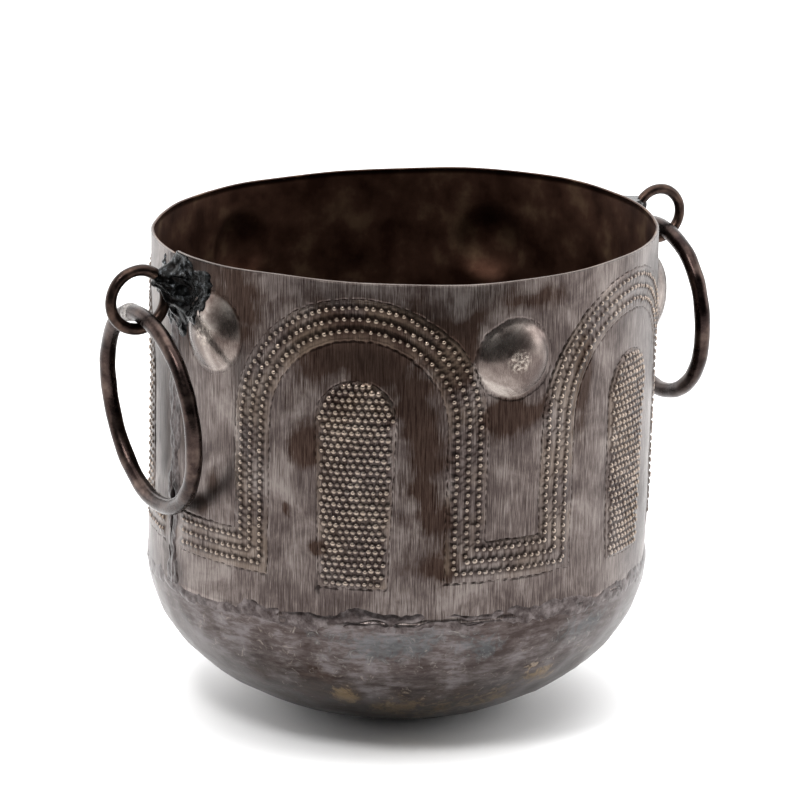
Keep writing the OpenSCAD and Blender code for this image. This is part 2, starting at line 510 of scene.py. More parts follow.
    def inner_at(row, col):
        return n_outer + row * (cols + 1) + col

    inner_edge = [inner_at(0, c) for c in range(cols + 1)]
    inner_edge += [inner_at(r, cols) for r in range(1, rows + 1)]
    inner_edge += [inner_at(rows, c) for c in range(cols - 1, -1, -1)]
    inner_edge += [inner_at(r, 0) for r in range(rows - 1, 0, -1)]
    outer_edge = list(range(len(edge)))

    # Two lines over the top edge round it off; elsewhere they lie in the cut edge
    out_points, in_points = outer[outer_edge], inner[np.array(inner_edge) - n_outer]
    is_rim = np.array([1.0 if h <= bevel else 0.0 for _, h in edge])
    lift = np.zeros((len(edge), 3))
    lift[:, 2] = is_rim * bevel * 0.8
    first = out_points * 0.78 + in_points * 0.22 + lift
    second = out_points * 0.22 + in_points * 0.78 + lift
    n_first = n_outer + len(inner)
    n_second = n_first + len(edge)
    first_edge = [n_first + i for i in range(len(edge))]
    second_edge = [n_second + i for i in range(len(edge))]

    points = np.concatenate([outer, inner, first, second])
    faces = outer_faces + inner_faces
    faces += bridge(outer_edge, first_edge, flip=True)
    faces += bridge(first_edge, second_edge, flip=True)
    faces += bridge(second_edge, inner_edge, flip=True)
    # The rim's top edge gets the same light coat as the dots' tops: wear and a painted highlight
    rim_wear_and_highlight = is_rim * DOT_H / 2
    top = np.concatenate([relief.clip(-1, None), np.zeros(len(inner)), rim_wear_and_highlight, rim_wear_and_highlight])
    rest = np.zeros(len(inner) + 2 * len(edge))
    inner_side = np.concatenate([0 * a, np.ones(len(inner)), np.zeros(len(edge)), np.ones(len(edge))])
    marks = {
        "relief": top / DOT_H,
        "worked": np.concatenate([band, rest]),
        "crease": np.concatenate([crease, rest]),
        "dome": np.concatenate([dome, rest]),
        "scorch": np.concatenate([stained(a, h, sheet_to_space(a, h, 0 * a), SCORCHES), rest - 1]),
        "inside": inner_side,
    }
    make_piece("wall_sheet_hammered", points, faces, "root", "wall_sheet_steel", "wall_sheet", marks)


# -------- the base dish
def dish_point(t, turn, grow):
    """A point on the dish: t is 0 at the seam and 1 at the edge of the flat, and grow moves it outwards."""
    end = math.asin(SEAM_Z / DISH_DEPTH)
    s = end * t
    r = SEAM_R * np.cos(s)
    z = SEAM_Z - DISH_DEPTH * np.sin(s)
    nr, nz = np.cos(s) / SEAM_R, -np.sin(s) / DISH_DEPTH
    length = np.hypot(nr, nz)
    r = r + grow * nr / length
    z = z + grow * nz / length
    return np.stack([r * np.cos(turn), r * np.sin(turn), z], -1)


def base_dish():
    """A round sheet sunk into a dish with a round-faced hammer, and knocked flat where it stands."""
    turns = 216
    t_line = np.linspace(0, 1, 46)
    flat_steps = np.array([0.75, 0.5, 0.25])
    t_grid, turn_grid = np.meshgrid(t_line, np.arange(turns) * 2 * math.pi / turns, indexing="ij")
    t, turn = t_grid.ravel(), turn_grid.ravel()
    bare = dish_point(t, turn, 0 * t)
    fade = smooth_step(0, 0.12, t) * smooth_step(1.0, 0.93, t)
    form = fade * (0.85 * hammer_blows(bare, 14, 2) + 0.18 * ripple(bare, 21, 26) - 0.35)
    form += body_bend(bare) * smooth_step(0.3, 0, t)
    outer = dish_point(t, turn, form)
    inner = dish_point(t, turn, form - SHEET)
    inner[:, 2] = np.maximum(inner[:, 2], SHEET)
    outer[:, 2] = np.maximum(outer[:, 2], 0)

    def flat_rings(level):
        """The flat that the bowl stands on, as rings inside the dish's last row."""
        rings = []
        edge = outer[-turns:] if level == 0 else inner[-turns:]
        for share in flat_steps:
            ring = edge * share
            ring[:, 2] = level
            rings.append(ring)
        return np.concatenate(rings)

    outer = np.concatenate([outer, flat_rings(0.0), [[0, 0, 0]]])
    inner = np.concatenate([inner, flat_rings(SHEET), [[0, 0, SHEET]]])
    rows = len(t_line) + len(flat_steps)
    n = len(outer)
    faces = grid_faces(rows, turns, wrap=True, flip=True)
    faces += grid_faces(rows, turns, start=n, wrap=True)
    last = (rows - 1) * turns
    for c in range(turns):
        d = (c + 1) % turns
        faces.append([last + d, last + c, n - 1])
        faces.append([n + last + c, n + last + d, 2 * n - 1])
    faces += bridge(list(range(turns)), [n + i for i in range(turns)], flip=True)
    a = along(np.degrees(np.arctan2(outer[:, 1], outer[:, 0])) % 360)
    marks = {"inside": np.concatenate([np.zeros(n), np.ones(n)])}
    for key, stains in (("gold", GOLD_STAINS), ("burnt", BURNT_STAINS), ("blue", BLUE_STAINS)):
        wrapped = [(angle + turned, drop, half_w, half_h)
                   for angle, drop, half_w, half_h in stains for turned in (0, 360, -360)]
        marks[key] = np.tile(stained(a, SEAM_Z - outer[:, 2], outer, wrapped), 2)
    points = np.concatenate([outer, inner])
    make_piece("base_dish_hammered", points, faces, "root", "base_dish_steel", "base_dish", marks)


# -------- weld beads and braze
def skin_patch(name, place, height, sink, shape, wrap, slot, node, crease):
    """A closed skin laid over the wall or the dish: height above it at each point, its back sunk below."""
    rows, cols = shape
    n = rows * cols
    front = place(height)
    back = place(-sink * np.ones(n))
    faces = grid_faces(rows, cols, wrap=wrap, flip=True)
    faces += grid_faces(rows, cols, start=n, wrap=wrap)
    top = list(range(cols))
    foot = [(rows - 1) * cols + c for c in range(cols)]
    faces += bridge([n + i for i in top], top, closed=wrap, flip=True)
    faces += bridge(foot, [n + i for i in foot], closed=wrap, flip=True)
    if not wrap:
        left = [r * cols for r in range(rows)]
        right = [r * cols + cols - 1 for r in range(rows)]
        faces += bridge(left, [n + i for i in left], closed=False, flip=True)
        faces += bridge([n + i for i in right], right, closed=False, flip=True)
    marks = {"crease": np.concatenate([crease, np.zeros(n)])}
    make_piece(name, np.concatenate([front, back]), faces, "root", slot, node, marks)


def base_seam_weld():
    """The welded base seam, ground nearly flush: a lumpy zone with pits, split by a dark crack in places."""
    cols, rows = 900, 31
    half_w = 6.0
    turns = np.arange(cols) * 2 * math.pi / cols
    s_grid, turn_grid = np.meshgrid(np.linspace(1, -1, rows), turns, indexing="ij")
    s, turn = s_grid.ravel(), turn_grid.ravel()
    wander = 0.8 * np.sin(3 * turn + 1) + 0.5 * np.sin(7 * turn) + 0.3 * np.sin(17 * turn + 2)
    z = SEAM_Z + s * half_w + wander * 0.6

    def place(out):
        below = np.clip(SEAM_Z - z, 0, None) / DISH_DEPTH
        above = np.clip(z - SEAM_Z, 0, None) / WALL_H
        r = SEAM_R * np.sqrt(1 - below ** 2) + (RIM_R - SEAM_R) * above + out
        bend = body_bend(np.stack([SEAM_R * np.cos(turn), SEAM_R * np.sin(turn), 0 * turn + SEAM_Z], -1))
        return np.stack([(r + bend) * np.cos(turn), (r + bend) * np.sin(turn), z], -1)

    at = place(0 * s)
    cover = smooth_step(0, 0.85, 1 - np.abs(s) + 0.16 * ripple(at, 33, 14) + 0.08 * ripple(at, 34, 5))
    crust = 0.66 + 0.2 * lumps(at, 9, 1) + 0.14 * lumps(at, 3.4, 2) + 0.05 * ripple(at, 31, 3)
    height = cover * crust - 0.62
    # The crack wanders along the middle of the seam and opens at the front and in a few other stretches
    crack_at = 0.05 + 0.13 * np.sin(9 * turn) + 0.14 * np.sin(23 * turn + 1) + 0.07 * np.sin(61 * turn)
    from_front = (turn - math.radians(251)) * SEAM_R
    open_here = smooth_step(36, 26, np.abs(from_front)) * smooth_step(-1.1, -0.7, np.sin(31 * turn))
    open_here = np.maximum(open_here, 0.6 * smooth_step(0.95, 0.99, np.sin(5 * turn + 0.4)))
    crack = open_here * np.exp(-((s - crack_at) / 0.085) ** 2)
    pit = np.zeros(len(s))
    for angle, place_s in SEAM_PITS:
        away = np.hypot((turn - math.radians(angle)) * SEAM_R, (s - place_s) * half_w)
        pit = np.maximum(pit, np.exp(-(away / 1.1) ** 2))
    height = height - 0.9 * crack - 1.2 * pit
    # The crack and the pits are painted dark: soot in them, and painted shade
    crease = np.clip(np.maximum(crack, pit) * 1.3, 0, 1)
    skin_patch("base_seam_bead", place, np.maximum(height, -0.95), 1.05, (rows, cols), True,
               "seam_weld", "base_seam_weld", crease)


def side_seam_weld():
    """The strip that closes the rolled sheet: hammered weld, ragged at its edges, cracked near its foot."""
    rows, cols = 330, 44
    half_w = 8.5
    h_line, u_line = np.linspace(0.9, WALL_H - 0.5, rows), np.linspace(-1, 1, cols)
    h_grid, u_grid = np.meshgrid(h_line, u_line, indexing="ij")
    h, u = h_grid.ravel(), u_grid.ravel()
    a = u * half_w

    def place(out):
        seam_a = np.where(a < 0, GIRTH + a, a)
        form = wall_form(seam_a, h)
        middle = 0.5 * (wall_form(0 * a + GIRTH - HALF_GAP, h) + wall_form(0 * a + HALF_GAP, h))
        form = np.where(np.abs(a) < HALF_GAP, middle, form)
        points = sheet_to_space(a, h, form + out)
        lift = 0.5 * (rim_lift(HALF_GAP) + rim_lift(GIRTH - HALF_GAP))
        points[:, 2] += min(lift, -0.2) * np.clip(1 - h / 30, 0, 1)
        return points

    at = place(0 * a)
    edge = 0.72 + 0.14 * np.sin(h / 7) + 0.08 * np.sin(h / 2.9 + 1) - np.abs(u) + 0.06 * ripple(at, 43, 6)
    cover = smooth_step(-0.15, 0.4, edge)
    crust = 0.8 + 0.3 * lumps(at, 6, 4) + 0.18 * lumps(at, 2.6, 5) + 0.07 * ripple(at, 41, 2.6)
    height = cover * crust - 0.7
    # Light wandering ridges of run-out weld, and a crack that opens near the foot
    ridge_at = 0.22 * np.sin(h / 6) + 0.12 * np.sin(h / 2.3)
    ridge = np.exp(-((u - ridge_at) / 0.09) ** 2) * smooth_step(35, 50, h)
    crack_at = -0.12 + 0.12 * np.sin(h / 5) + 0.06 * np.sin(h / 1.9)
    crack = np.exp(-((u - crack_at) / 0.075) ** 2) * smooth_step(88, 96, h) * smooth_step(126, 119, h)
    height = height + 0.25 * ridge - 1.5 * crack
    # The strip is painted a little dark all over with soot, and darker along its crack and its edges with
    # soot and painted shade
    crease = np.clip(0.3 + crack * 1.3 + 0.8 * np.exp(-(edge / 0.16) ** 2), 0, 1)
    # The weld goes right through the gap between the sheet's ends, and is a narrow bead inside the bowl
    sink = np.where(np.abs(a) < 2.4, 1.45, 0.8)
    skin_patch("side_seam_strip", place, np.clip(height, -0.7, None), sink, (rows, cols), False,
               "seam_weld", "side_seam_weld", crease)


def eye_braze(name, node, side, eye_drop, middle, reach, pile_h, seed):
    """A crusted smear of braze on the wall, piled up round the foot of the eye where it holds it."""
    rows, cols = 130, 130
    a0 = 0.0 if side < 0 else along(360)
    h_grid, u_grid = np.meshgrid(np.linspace(-1, 1, rows), np.linspace(-1, 1, cols), indexing="ij")
    v, u = h_grid.ravel(), u_grid.ravel()
    a = a0 + middle[0] + u * reach[0]
    h = np.clip(middle[1] + v * reach[1], 0.6, None)

    def place(out):
        seam_a = np.where(a < 0, GIRTH + a, a)
        points = sheet_to_space(a, h, wall_form(seam_a, h) + out)
        points[:, 2] += np.clip(rim_lift(seam_a), None, 0.2) * np.clip(1 - h / 30, 0, 1)
        return points

    at = place(0 * a)
    radius = np.hypot(u, v) + 0.17 * ripple(at, seed, 14) + 0.05 * ripple(at, seed + 1, 5)
    cover = smooth_step(0.98, 0.7, radius)
    from_foot = np.hypot((a - a0 - 2) / 10.5, (h - 0.8 * eye_drop) / 11.5)
    pile = smooth_step(1.0, 0.4, from_foot + 0.1 * ripple(at, seed + 4, 7))
    molten = ripple(at, seed + 2, 5)
    height = cover * (1.1 + 0.3 * molten + 0.08 * ripple(at, seed + 3, 2.8)) - 0.7
    height += pile * (pile_h + 0.5 * ripple(at, seed + 5, 8) + 0.25 * molten)
    # The braze has run out along the eye's rod
    height += 4.6 * np.exp(-((a - a0 - 1) / 5) ** 2 - ((h - 0.55 * eye_drop) / 5.5) ** 2)
    # The crust's low places are painted darker: soot and painted shade
    crease = np.clip(0.35 - 0.5 * molten, 0, 1)
    skin_patch(name, place, np.clip(height, -0.6, None), 0.7, (rows, cols), False, "eye_braze", node, crease)


# -------- eyes and rings
def rod_loop(name, radius, rod_r, start, arc, turn_into, wobble, seed, body, slot, node,
             lump=0.0, steps=180, sides=24):
    """A round rod bent along an arc by hand: slightly uneven in line and in thickness, its ends closed."""
    closed = arc >= 360
    count = steps if closed else steps + 1
    at = np.radians(start) + np.radians(arc) * np.arange(count) / steps
    loose = smooth_step(math.radians(14), math.radians(45), np.abs((at + math.pi) % (2 * math.pi) - math.pi))
    line = np.stack([np.cos(at) * radius, np.sin(at) * radius, 0 * at], -1)
    push = wobble * loose * ripple(line, seed, 70)
    bend = wobble * loose * ripple(line, seed + 1, 90)
    radial = np.stack([np.cos(at), np.sin(at), 0 * at], -1)
    middle = line + radial * push[:, None] + np.array([0, 0, 1]) * bend[:, None]
    turns = 2 * math.pi * np.arange(sides) / sides
    bare = middle[:, None] + rod_r * (np.cos(turns)[None, :, None] * radial[:, None]
                                      + np.sin(turns)[None, :, None] * np.array([0, 0, 1.0]))
    flat = bare.reshape(-1, 3)
    swell = 0.035 * rod_r * ripple(flat, seed + 2, 13) * np.repeat(loose, sides)
    if lump:
        ends = np.repeat(np.clip(1 - (2 * np.arange(count) / steps - 1) ** 2, 0, 1) ** 0.4, sides)
        swell = lump * ends * (0.45 + 0.75 * lumps(flat, 2.2, seed)) - 0.15
    out = (flat - np.repeat(middle, sides, axis=0)) / rod_r
    points = flat + out * swell[:, None]
    faces = grid_faces(count, sides, wrap=True, flip=True)
    if closed:
        faces += bridge([(count - 1) * sides + i for i in range(sides)], list(range(sides)), flip=True)
    else:
        faces.append(list(range(sides)))
        faces.append([(count - 1) * sides + i for i in range(sides)][::-1])
    points = points @ np.array(turn_into.to_3x3()).T + np.array(turn_into.translation)
    make_piece(name, points, faces, body, slot, node, {})


def eye_matrix(node):
    """The eye stands in the XZ plane, about the middle of its CAD box."""
    low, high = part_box(node)
    middle = (low + high) / 2 / MM
    return Matrix.Translation(middle) @ Matrix.Rotation(math.pi / 2, 4, "X")


def ring_matrix(side, joint_name, lean, radius):
    """A ring's own frame: its top lies on the joint's axis, and it leans in by lean."""
    pivot = Vector(next(j["pos_m"] for j in frame["joints"] if j["name"] == joint_name)) / MM
    hang = Matrix.Rotation(math.radians(side * lean), 4, "Y") @ Matrix.Translation((0, 0, -radius))
    return Matrix.Translation(pivot) @ hang @ Matrix.Rotation(math.radians(-90), 4, "Y")


# Radii to the middle of each rod and of the rods themselves, then how far each ring leans in and where its
# closing weld lies, in degrees
LEFT_EYE_R, LEFT_EYE_ROD = 11.55, 2.3
RIGHT_EYE_R, RIGHT_EYE_ROD = 10.25, 2.05
LEFT_RING_R, RIGHT_RING_R, RING_ROD = 38.8, 34.3, 3.2
LEFT_LEAN, RIGHT_LEAN = 6.5, -2.5
LEFT_WELD_AT, RIGHT_WELD_AT, WELD_ARC = 12, 14, 8


def handle(side, name, eye_r, eye_rod, ring_r, lean, weld_at, seed):
    """One eye, its ring and the weld that closes the ring."""
    rod_loop(name + "_eye_rod", eye_r, eye_rod, 0, 360, eye_matrix(name + "_eye"), 0.12, seed,
             "root", "eye_rod_steel", name + "_eye", steps=120, sides=20)
    into = ring_matrix(side, name + "_ring_swing", lean, ring_r)
    end = weld_at + WELD_ARC / 2
    body = name + "_handle"
    rod_loop(name + "_ring_rod", ring_r, RING_ROD, end, 360 - WELD_ARC, into, 0.4, seed + 10,
             body, "ring_rod_steel", name + "_ring", steps=200)
    rod_loop(name + "_ring_scar", ring_r, RING_ROD, end - WELD_ARC - 0.8, WELD_ARC + 1.6, into, 0, seed + 20,
             body, "ring_weld", name + "_ring_weld", lump=0.55, steps=30, sides=32)


# -------- materials
WALL_DARK, WALL_MID, WALL_LIGHT = "#3a3230", "#554c49", "#756d69"
DISH_DARK, DISH_MID, DISH_LIGHT = "#38302e", "#4c4442", "#666060"
FIRE_BLACK, FIRE_BROWN = "#1e1410", "#41342e"
WARM_TINT = "#76685a"
# Light coat on raised tops: metal worn bright, and a painted highlight
WORN_BRIGHT_AND_HIGHLIGHT = "#c6b4a2"
FILED_SPOT = "#bcb1a6"
GOLD_BROWN = "#7d684a"
GREY_BLUE = "#4d5457"
RUBBED_SPECK = "#8f857d"
# Soot and painted shade in the cuts and round the dots' feet
GROOVE_SOOT_AND_SHADE = "#1f1613"
# Soot and painted shade in the cracks and hollows of welds and braze
CRUST_SOOT_AND_SHADE = "#0f0c0b"
# Tones of a mottled finish, from its darkest patches to its lightest
BOSS_TONES = [(0.4, "#564b47"), (0.52, "#867b75"), (0.62, "#aca39c")]
WALL_INSIDE_TONES = [(0.35, "#2f1d16"), (0.55, "#493329"), (0.7, "#65503f")]
DISH_INSIDE_TONES = [(0.35, "#291a14"), (0.6, "#403026"), (0.75, "#594739")]
SEAM_TONES = [(0.35, "#342d2c"), (0.5, "#4d4645"), (0.65, "#67605f")]
BRAZE_TONES = [(0.35, "#0d0d0d"), (0.54, "#1b1c1c"), (0.66, "#505356")]
EYE_TONES = [(0.3, "#1c1614"), (0.5, "#302622"), (0.7, "#4f3f37")]
RING_TONES = [(0.3, "#1f1817"), (0.5, "#352b28"), (0.7, "#544741")]
SCAR_TONES = [(0.3, "#3b3634"), (0.5, "#6d6865"), (0.7, "#a8a4a1")]


def colour(code):
    """Linear RGBA from an sRGB hex value."""
    parts = [int(code[i:i + 2], 16) / 255 for i in (1, 3, 5)]
    linear = [p / 12.92 if p <= 0.04045 else ((p + 0.055) / 1.055) ** 2.4 for p in parts]
    return (*linear, 1.0)


def per(size_mm):
    """Texture scale, in object space, of a pattern that repeats about every size_mm."""
    return 1 / (size_mm * MM)


def add(tree, kind, inputs=None, stops=None, **settings):
    """Adds a node with its settings, its inputs set or linked, and a ramp's stops as (place, hex value)."""
    made = tree.nodes.new("ShaderNode" + kind)
    for key, value in settings.items():
        setattr(made, key, value)
    for key, value in (inputs or {}).items():
        if isinstance(value, bpy.types.NodeSocket):
            tree.links.new(value, made.inputs[key])
        else:
            made.inputs[key].default_value = value
    if stops:
        ramp = made.color_ramp
        while len(ramp.elements) < len(stops):
            ramp.elements.new(0.5)
        for element, (place, code) in zip(ramp.elements, stops):
            element.position = place
            element.color = colour(code)
    return made


def start_material(name):
    """A bare metal's node tree, its shader and the object-space place that every pattern is drawn from."""
    material = bpy.data.materials.new(name)
    material.use_nodes = True
    tree = material.node_tree
    tree.nodes.clear()
    shader = add(tree, "BsdfPrincipled")
    shader.inputs["Metallic"].default_value = 1.0
    add(tree, "OutputMaterial", {"Surface": shader.outputs["BSDF"]})
    place = add(tree, "TexCoord").outputs["Object"]
    return material, tree, shader, place


def patina_tone(tree, place, scorch, stroke_scale, dark, mid, light):
    """Brushed grey-brown metal, clouded unevenly, with fire marks that the brush has dragged out along its
    strokes. Returns its colour, its brush strokes and its clouding."""
    stroke_map = add(tree, "Mapping", {"Vector": place, "Scale": stroke_scale})
    brush = add(tree, "TexNoise", {"Vector": stroke_map.outputs[0], "Scale": 1.0, "Detail": 5.0,
                                   "Roughness": 0.7}).outputs["Fac"]
    cloud = add(tree, "TexNoise", {"Vector": place, "Scale": per(22), "Detail": 4.0, "Roughness": 0.6,
                                   "Distortion": 0.5}).outputs["Fac"]
    half_cloud = add(tree, "Math", {0: cloud, 1: 0.5}, operation="MULTIPLY").outputs[0]
    tone = add(tree, "Math", {0: brush, 1: 0.6, 2: half_cloud}, operation="MULTIPLY_ADD").outputs[0]
    skin = add(tree, "ValToRGB", {"Fac": tone}, [(0.45, dark), (0.55, mid), (0.66, light)])
    edge = add(tree, "Math", {0: tone, 1: -1.6, 2: scorch}, operation="MULTIPLY_ADD").outputs[0]
    burnt = add(tree, "MapRange", {"Value": edge, "From Min": -1.08, "From Max": -0.5}).outputs[0]
    burnt_skin = add(tree, "ValToRGB", {"Fac": brush}, [(0.35, FIRE_BLACK), (0.65, FIRE_BROWN)])
    both = add(tree, "Mix", {0: burnt, 6: skin.outputs["Color"], 7: burnt_skin.outputs["Color"]},
               data_type="RGBA").outputs[2]
    return both, brush, cloud


def wall_steel():
    """Mild steel sheet, blackened in a charcoal fire and brushed upright with a wire brush: grey-brown metal
    with fine upright scratches, brown-black fire marks left in it, and raised dots worn bright and painted
    with a highlight on their tops, in surrounds darkened by soot and painted shade."""
    material, tree, shader, place = start_material("brushed_blackened_steel")
    marks = {key: add(tree, "Attribute", attribute_name=key).outputs["Fac"]
             for key in ("relief", "worked", "crease", "dome", "scorch", "inside")}
    # A wire brush's scratches are finer than this: they are drawn coarser, so that they show
    scratches = (per(0.42), per(0.42), per(10))
    skin, brush, cloud = patina_tone(tree, place, marks["scorch"], scratches, WALL_DARK, WALL_MID, WALL_LIGHT)

    patch = add(tree, "TexNoise", {"Vector": place, "Scale": per(18), "Detail": 2.0}).outputs["Fac"]
    patch_share = add(tree, "MapRange", {"Value": patch, "From Min": 0.42, "From Max": 0.62,
                                         "To Max": 0.3}).outputs[0]
    warm = add(tree, "Math", {0: patch_share, 1: marks["worked"]}, operation="MULTIPLY").outputs[0]
    dome = add(tree, "MapRange", {"Value": marks["dome"], "From Max": 0.06, "To Max": 0.6}).outputs[0]
    dome_skin = add(tree, "ValToRGB", {"Fac": cloud}, BOSS_TONES)
    # Filing has left a scuffed spot in the middle of each boss
    fleck = add(tree, "TexNoise", {"Vector": place, "Scale": per(1.3), "Detail": 2.0}).outputs["Fac"]
    fleck_share = add(tree, "MapRange", {"Value": fleck, "From Min": 0.42, "From Max": 0.6}).outputs[0]
    spot = add(tree, "MapRange", {"Value": marks["dome"], "From Min": 0.66, "From Max": 0.78,
                                  "To Max": 0.5}).outputs[0]
    scuff = add(tree, "Math", {0: spot, 1: fleck_share}, operation="MULTIPLY").outputs[0]
    # Raised tops, the dots and the rim's edge, take a light coat: partly wear, partly a painted highlight
    tops = add(tree, "MapRange", {"Value": marks["relief"], "From Min": 0.3, "From Max": 0.95,
                                  "To Max": 0.38}).outputs[0]
    # The dots' feet and the chisel cuts are painted dark: soot held there, and painted shade
    soot_and_shade = add(tree, "MapRange", {"Value": marks["crease"], "From Min": 0.3, "To Max": 0.9}).outputs[0]
    in_tone = add(tree, "TexNoise", {"Vector": place, "Scale": per(14), "Detail": 4.0}).outputs["Fac"]
    in_skin = add(tree, "ValToRGB", {"Fac": in_tone}, WALL_INSIDE_TONES)
    # Each coat lies over the ones before it, by its share
    coats = ((warm, colour(WARM_TINT)), (dome, dome_skin.outputs["Color"]), (scuff, colour(FILED_SPOT)),
             (tops, colour(WORN_BRIGHT_AND_HIGHLIGHT)), (soot_and_shade, colour(GROOVE_SOOT_AND_SHADE)),
             (marks["inside"], in_skin.outputs["Color"]))
    for share, coat in coats:
        skin = add(tree, "Mix", {0: share, 6: skin, 7: coat}, data_type="RGBA").outputs[2]
    tree.links.new(skin, shader.inputs["Base Color"])

    matt = add(tree, "MapRange", {"Value": brush, "From Min": 0.35, "From Max": 0.65,
                                  "To Min": 0.42, "To Max": 0.32}).outputs[0]
    # Worn tops and filed bosses shine more than the rest, and the inside shines less
    for share, change in ((tops, -0.25), (dome, -0.15), (marks["inside"], 0.2)):
        matt = add(tree, "Math", {0: share, 1: change, 2: matt}, operation="MULTIPLY_ADD").outputs[0]
    tree.links.new(matt, shader.inputs["Roughness"])
    grain = add(tree, "TexNoise", {"Vector": place, "Scale": per(1.1), "Detail": 4.0}).outputs["Fac"]
    plain = add(tree, "MapRange", {"Value": dome, "To Min": 1.0, "From Max": 0.6, "To Max": 0.0}).outputs[0]
    stroke = add(tree, "Math", {0: brush, 1: plain}, operation="MULTIPLY").outputs[0]
    rubbed = add(tree, "Math", {0: scuff, 1: 3.0, 2: stroke}, operation="MULTIPLY_ADD").outputs[0]
    relief = add(tree, "Math", {0: grain, 1: 0.5, 2: rubbed}, operation="MULTIPLY_ADD").outputs[0]
    bump = add(tree, "Bump", {"Height": relief, "Strength": 0.3, "Distance": 0.1 * MM})
    tree.links.new(bump.outputs[0], shader.inputs["Normal"])
    return material


def dish_steel():
    """The same steel, hammered and only wiped: smoother, smeared round the bowl, with gold-brown fire colours
    low down, a grey-blue bloom just under the seam, and specks rubbed bright."""
    material, tree, shader, place = start_material("hammered_blackened_steel")
    marks = {key: add(tree, "Attribute", attribute_name=key).outputs["Fac"]
             for key in ("inside", "gold", "burnt", "blue")}
    smears = (per(9), per(9), per(2.4))
    skin, smear = patina_tone(tree, place, marks["burnt"], smears, DISH_DARK, DISH_MID, DISH_LIGHT)[:2]
    speckle = add(tree, "TexNoise", {"Vector": place, "Scale": per(4.5), "Detail": 6.0, "Roughness": 0.7,
                                     "Distortion": 1.2}).outputs["Fac"]
    shares = {}
    for key, most in (("gold", 0.7), ("blue", 0.45)):
        edge = add(tree, "Math", {0: speckle, 1: 5.0, 2: marks[key]}, operation="MULTIPLY_ADD").outputs[0]
        shares[key] = add(tree, "MapRange", {"Value": edge, "From Min": 2.5, "From Max": 3.3,
                                             "To Max": most}).outputs[0]
    wear = add(tree, "MapRange", {"Value": speckle, "From Min": 0.58, "From Max": 0.68,
                                  "To Max": 0.45}).outputs[0]
    in_skin = add(tree, "ValToRGB", {"Fac": smear}, DISH_INSIDE_TONES)
    coats = ((shares["gold"], colour(GOLD_BROWN)), (shares["blue"], colour(GREY_BLUE)),
             (wear, colour(RUBBED_SPECK)), (marks["inside"], in_skin.outputs["Color"]))
    for share, coat in coats:
        skin = add(tree, "Mix", {0: share, 6: skin, 7: coat}, data_type="RGBA").outputs[2]
    tree.links.new(skin, shader.inputs["Base Color"])
    matt = add(tree, "MapRange", {"Value": smear, "From Min": 0.35, "From Max": 0.65,
                                  "To Min": 0.28, "To Max": 0.4}).outputs[0]
    rough = add(tree, "Math", {0: marks["inside"], 1: 0.25, 2: matt}, operation="MULTIPLY_ADD").outputs[0]
    tree.links.new(rough, shader.inputs["Roughness"])
    grain = add(tree, "TexNoise", {"Vector": place, "Scale": per(2.2), "Detail": 5.0}).outputs["Fac"]
    bump = add(tree, "Bump", {"Height": grain, "Strength": 0.3, "Distance": 0.2 * MM})
    tree.links.new(bump.outputs[0], shader.inputs["Normal"])
    return material


def weld_metal(name, stops, roughness, grain_mm, grain_depth, soot_and_shade=0.0):
    """Weld or braze metal as it froze: crusted, with soot and painted shade in its cracks, lumps rubbed
    bright.
    """
    material, tree, shader, place = start_material(name)
    grain = add(tree, "TexNoise", {"Vector": place, "Scale": per(grain_mm), "Detail": 6.0,
                                   "Roughness": 0.65}).outputs["Fac"]
    tone = add(tree, "ValToRGB", {"Fac": grain}, stops).outputs["Color"]
    crease = add(tree, "Attribute", attribute_name="crease").outputs["Fac"]
    # The crease mark paints soot and shade into the cracks and hollows
    share = add(tree, "Math", {0: crease, 1: soot_and_shade}, operation="MULTIPLY").outputs[0]
    sooted = add(tree, "Mix", {0: share, 6: tone, 7: colour(CRUST_SOOT_AND_SHADE)}, data_type="RGBA").outputs[2]
    tree.links.new(sooted, shader.inputs["Base Color"])
    shader.inputs["Roughness"].default_value = roughness
    bump = add(tree, "Bump", {"Height": grain, "Strength": 0.7, "Distance": grain_depth * MM})
    tree.links.new(bump.outputs[0], shader.inputs["Normal"])
    return material


def rod_steel(name, stops, roughness):
    """Drawn mild-steel rod, bent hot and handled: a smooth black-brown oxide skin with crisp highlights."""
    material, tree, shader, place = start_material(name)
    cloud = add(tree, "TexNoise", {"Vector": place, "Scale": per(7), "Detail": 5.0, "Roughness": 0.6})
    tone = add(tree, "ValToRGB", {"Fac": cloud.outputs["Fac"]}, stops)
    tree.links.new(tone.outputs["Color"], shader.inputs["Base Color"])
    rough = add(tree, "MapRange", {"Value": cloud.outputs["Fac"], "From Min": 0.35, "From Max": 0.65,
                                   "To Min": roughness - 0.06, "To Max": roughness + 0.08})
    tree.links.new(rough.outputs[0], shader.inputs["Roughness"])
    grain = add(tree, "TexNoise", {"Vector": place, "Scale": per(1.2), "Detail": 4.0})
    bump = add(tree, "Bump", {"Height": grain.outputs["Fac"], "Strength": 0.35, "Distance": 0.12 * MM})
    tree.links.new(bump.outputs[0], shader.inputs["Normal"])
    return material


# -------- build
wall_sheet()
base_dish()
base_seam_weld()
side_seam_weld()
eye_braze("left_eye_crust", "left_eye_weld", -1, 18, (4.5, 15), (24, 18), 4.8, 51)
eye_braze("right_eye_crust", "right_eye_weld", 1, 8, (1, 9), (14, 12), 5.0, 61)
handle(-1, "left", LEFT_EYE_R, LEFT_EYE_ROD, LEFT_RING_R, LEFT_LEAN, LEFT_WELD_AT, 71)
handle(1, "right", RIGHT_EYE_R, RIGHT_EYE_ROD, RIGHT_RING_R, RIGHT_LEAN, RIGHT_WELD_AT, 91)

